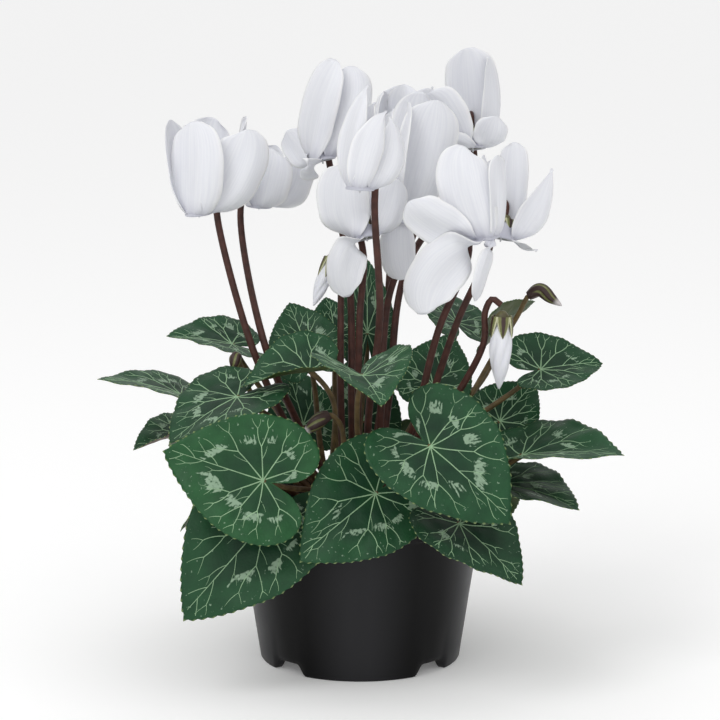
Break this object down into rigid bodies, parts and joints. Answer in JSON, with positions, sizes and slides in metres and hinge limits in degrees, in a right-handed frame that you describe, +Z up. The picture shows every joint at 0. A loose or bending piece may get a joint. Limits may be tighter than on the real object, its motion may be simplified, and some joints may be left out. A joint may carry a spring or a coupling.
{
  "type": "potted cyclamen",
  "caption": "White florist's cyclamen in flower: heart-shaped leaves with silver marks, swept-back petals on arching red-brown stalks, in a low tapered black plastic pot.",
  "frame": {"origin": "on the floor under the middle of the plant, on the pot's axis", "axes": "+Z up along the pot's axis; -Y is the side that the picture looks at; +X to the picture's right"},
  "size_m": [0.2442, 0.1997, 0.2866],
  "materials": {
    "pot": "satin injection-moulded black plastic",
    "potting_mix": "dark crumbly peat",
    "tuber_and_leaf_stalks": "corky brown tuber, smooth olive to red-brown leaf stalks",
    "leaf": "waxy dark green with silver marks and pale veins",
    "petal": "soft satin white",
    "flower_stalk": "smooth dark red-brown"
  },
  "bodies": {
    "root": {"pot": "pot", "soil": "potting_mix", "tuber_with_leaf_stalks": "tuber_and_leaf_stalks", "leaf_01": "leaf", "leaf_02": "leaf", "leaf_03": "leaf", "leaf_04": "leaf", "leaf_05": "leaf", "leaf_06": "leaf", "leaf_07": "leaf", "leaf_08": "leaf", "leaf_09": "leaf", "leaf_10": "leaf", "leaf_11": "leaf", "leaf_12": "leaf", "leaf_13": "leaf", "leaf_14": "leaf", "leaf_15": "leaf", "leaf_16": "leaf", "leaf_17": "leaf", "leaf_18": "leaf", "leaf_19": "leaf", "leaf_20": "leaf", "leaf_21": "leaf", "leaf_22": "leaf", "leaf_23": "leaf", "leaf_24": "leaf", "leaf_25": "leaf", "leaf_26": "leaf", "leaf_27": "leaf", "leaf_28": "leaf", "leaf_29": "leaf", "leaf_30": "leaf", "bloom_01_petals": "petal", "bloom_01_stalk": "flower_stalk", "bloom_02_petals": "petal", "bloom_02_stalk": "flower_stalk", "bloom_03_petals": "petal", "bloom_03_stalk": "flower_stalk", "bloom_04_petals": "petal", "bloom_04_stalk": "flower_stalk", "bloom_05_petals": "petal", "bloom_05_stalk": "flower_stalk", "bloom_06_petals": "petal", "bloom_06_stalk": "flower_stalk", "bloom_07_petals": "petal", "bloom_07_stalk": "flower_stalk", "bloom_08_petals": "petal", "bloom_08_stalk": "flower_stalk", "bloom_09_petals": "petal", "bloom_09_stalk": "flower_stalk", "bloom_10_petals": "petal", "bloom_10_stalk": "flower_stalk", "bud_01_petals": "petal", "bud_01_stalk": "flower_stalk", "bud_02_petals": "petal", "bud_02_stalk": "flower_stalk"}
  },
  "joints": []
}
